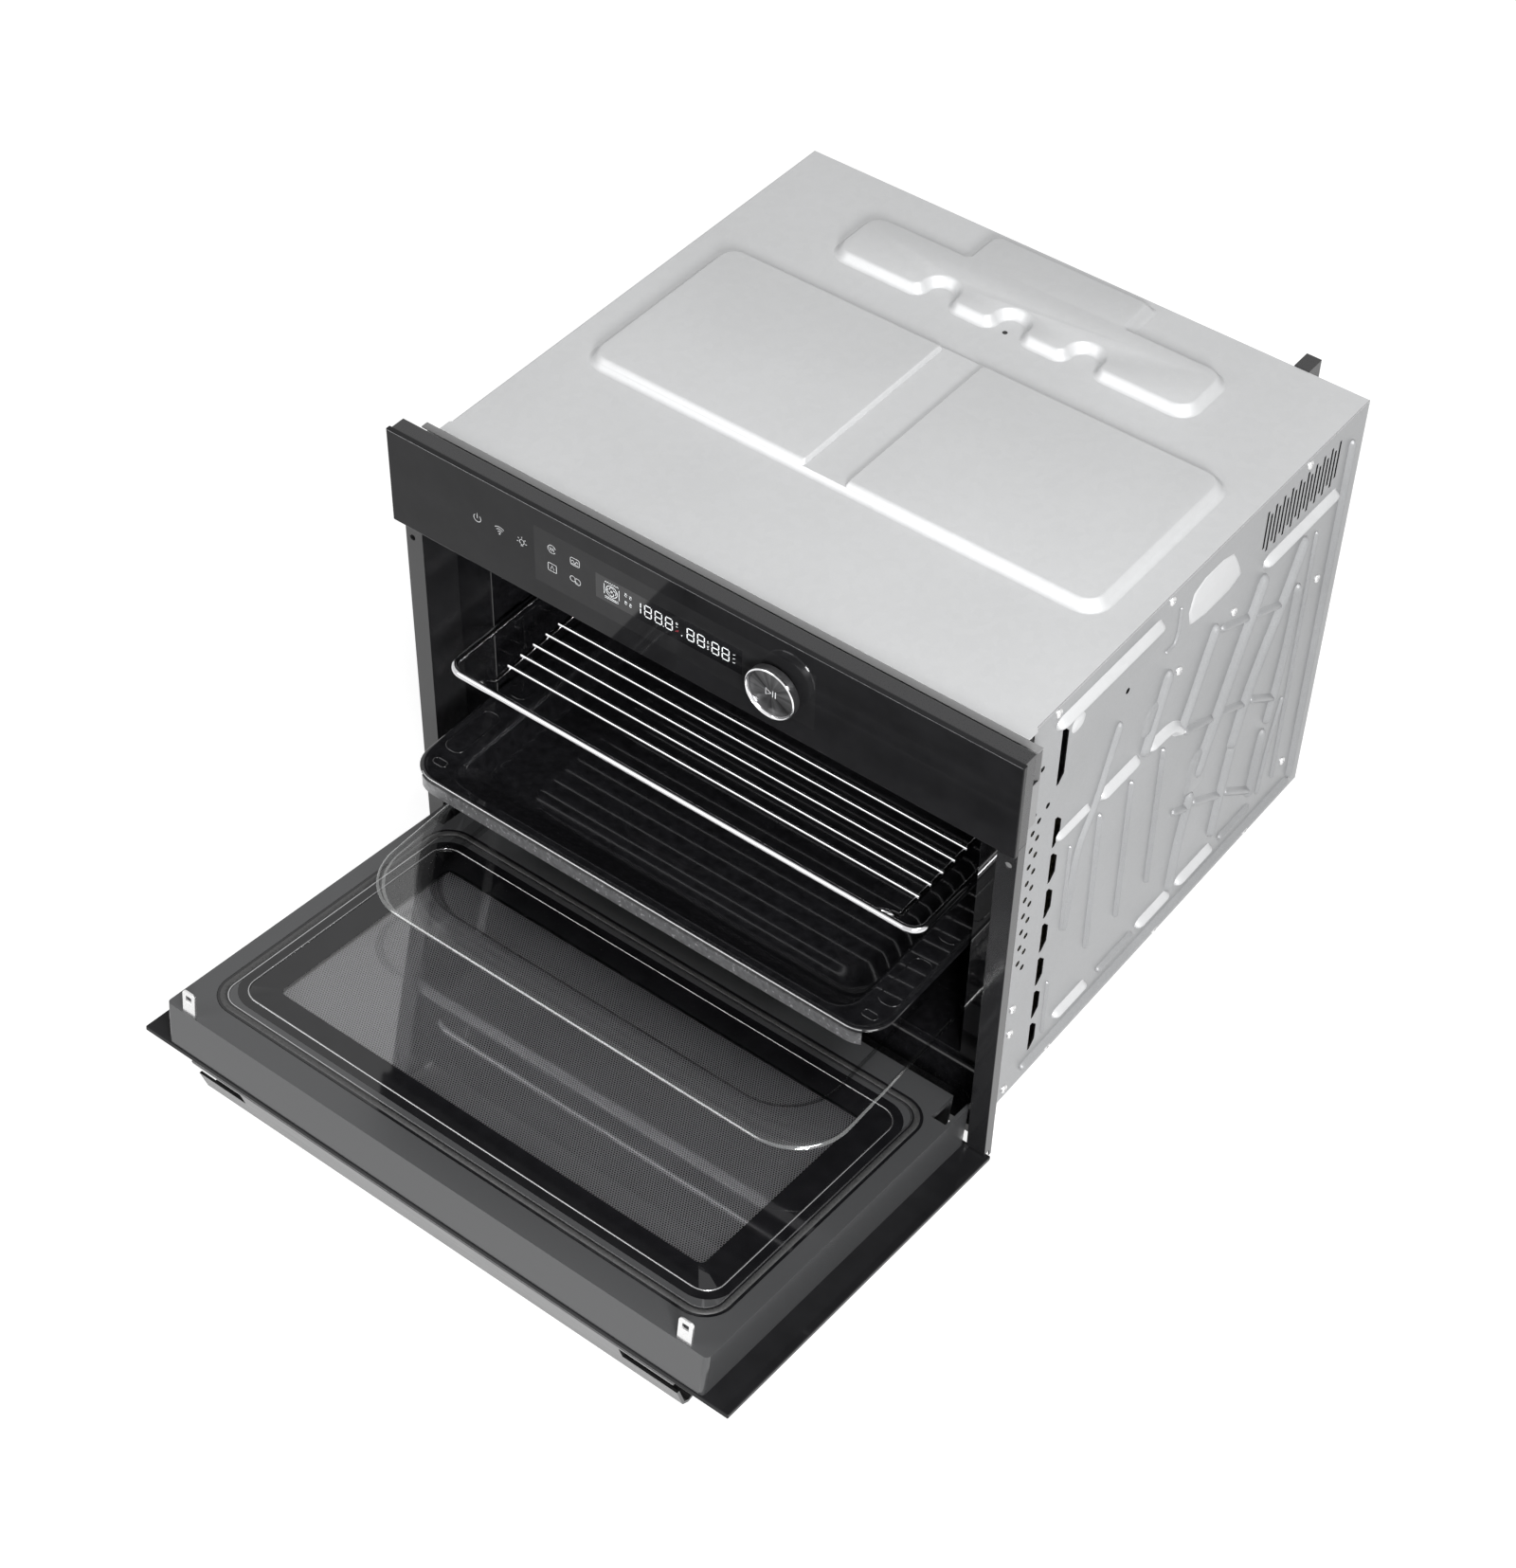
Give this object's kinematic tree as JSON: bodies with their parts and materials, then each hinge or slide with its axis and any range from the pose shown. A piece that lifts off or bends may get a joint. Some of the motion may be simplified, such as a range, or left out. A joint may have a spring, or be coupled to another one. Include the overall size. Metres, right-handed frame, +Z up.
{
  "type": "wall oven",
  "caption": "Compact built-in oven with a drop-down glass door, a knob and touch display panel, and sliding rack, tray and glass dish.",
  "frame": {"origin": "middle of the housing's underside, which rests on the cabinet shelf", "axes": "+Z up, front with the door and panel towards -Y, +X to the right seen from the front"},
  "size_m": [0.595, 0.8732, 0.4618],
  "materials": {
    "galvanised": "spangled zinc, satin",
    "black_glass": "polished",
    "black_paint": "semi-gloss",
    "door_paint": "satin metallic",
    "black_plastic": "matte",
    "dark_metal": "brushed dark",
    "bright_metal": "polished",
    "zinc": "bright zinc",
    "inner_glass": "polished",
    "clear_glass": "polished",
    "screen": "perforated, satin",
    "gasket": "matte",
    "enamel": "gloss enamel",
    "wire": "polished",
    "wool": "fibrous",
    "board": "satin",
    "heater": "oxidised",
    "motor": "satin"
  },
  "bodies": {
    "oven": {"base_plate": "galvanised", "top_cover": "galvanised", "side_panel_right": "galvanised", "side_panel_left": "galvanised", "rear_panel": "galvanised", "rear_spacer": "black_plastic", "housing_screws": "zinc", "front_plate": "enamel", "front_flange_right": "black_paint", "front_flange_left": "black_paint", "front_sill": "black_paint", "control_panel_glass": "black_glass", "control_panel_carrier": "black_plastic", "panel_support": "galvanised", "display_board": "board", "rotary_encoder": "black_plastic", "hinge_bracket_right": "zinc", "hinge_bracket_left": "zinc", "cavity_floor": "enamel", "cavity_roof": "enamel", "cavity_wall_right": "enamel", "cavity_wall_left": "enamel", "cavity_back": "enamel", "shelf_rails_right": "enamel", "shelf_rails_left": "enamel", "insulation": "wool", "fan_chamber": "galvanised", "convection_motor": "motor", "ring_heater": "heater", "grill_heater": "heater", "lamp_housing": "motor", "lamp_lens": "clear_glass", "upper_deck": "galvanised", "magnetron": "motor", "waveguide": "galvanised", "inverter": "board", "power_board": "board", "mains_terminal": "black_plastic", "blower_housing": "galvanised", "blower_motor": "motor", "latch_switch_right": "black_plastic", "latch_switch_left": "black_plastic"},
    "door": {"door_outer_glass": "black_glass", "door_frame": "door_paint", "door_inner_glass": "inner_glass", "door_screen": "screen", "door_gasket": "gasket", "door_handle": "dark_metal", "latch_hooks": "zinc", "hinge_arm_right": "zinc", "hinge_arm_left": "zinc"},
    "rack": {"wire_rack": "wire"},
    "tray": {"baking_tray": "enamel"},
    "dish": {"glass_tray": "clear_glass"},
    "knob_plunger": {"encoder_shaft": "zinc"},
    "knob": {"knob_body": "dark_metal", "knob_ring": "bright_metal", "knob_cap": "dark_metal"},
    "fan": {"convection_fan": "zinc"},
    "blower": {"blower_wheel": "zinc"}
  },
  "joints": [
    {"name": "door_hinge", "type": "hinge", "parent": "oven", "child": "door", "pos_m": [0, -0.2714, 0], "axis": [-1, 0, 0], "range_deg": [0, 82.9]},
    {"name": "rack_slide", "type": "slide", "parent": "oven", "child": "rack", "axis": [0, 1, 0], "range_m": [0, 0.0795]},
    {"name": "tray_slide", "type": "slide", "parent": "oven", "child": "tray", "axis": [0, 1, 0], "range_m": [0, 0.134]},
    {"name": "dish_slide", "type": "slide", "parent": "oven", "child": "dish", "axis": [0, 1, 0], "range_m": [0, 0.3204]},
    {"name": "knob_press", "type": "slide", "parent": "oven", "child": "knob_plunger", "axis": [0, 1, 0], "range_m": [0, 0.0015], "stiffness_N_per_m": 1500},
    {"name": "knob_turn", "type": "hinge", "parent": "knob_plunger", "child": "knob", "pos_m": [0.0857, -0.2949, 0.39475], "axis": [0, 1, 0], "continuous": true},
    {"name": "convection_fan_spin", "type": "hinge", "parent": "oven", "child": "fan", "pos_m": [0, 0.1781, 0.1735], "axis": [0, 1, 0], "continuous": true},
    {"name": "blower_spin", "type": "hinge", "parent": "oven", "child": "blower", "pos_m": [0, -0.1569, 0.355], "axis": [1, 0, 0], "continuous": true}
  ],
  "couplings": [
    {"joint": "rack_slide", "follows": "door_hinge", "m_per_rad": 0.054945},
    {"joint": "tray_slide", "follows": "door_hinge", "m_per_rad": 0.092613},
    {"joint": "dish_slide", "follows": "door_hinge", "m_per_rad": 0.22144}
  ]
}
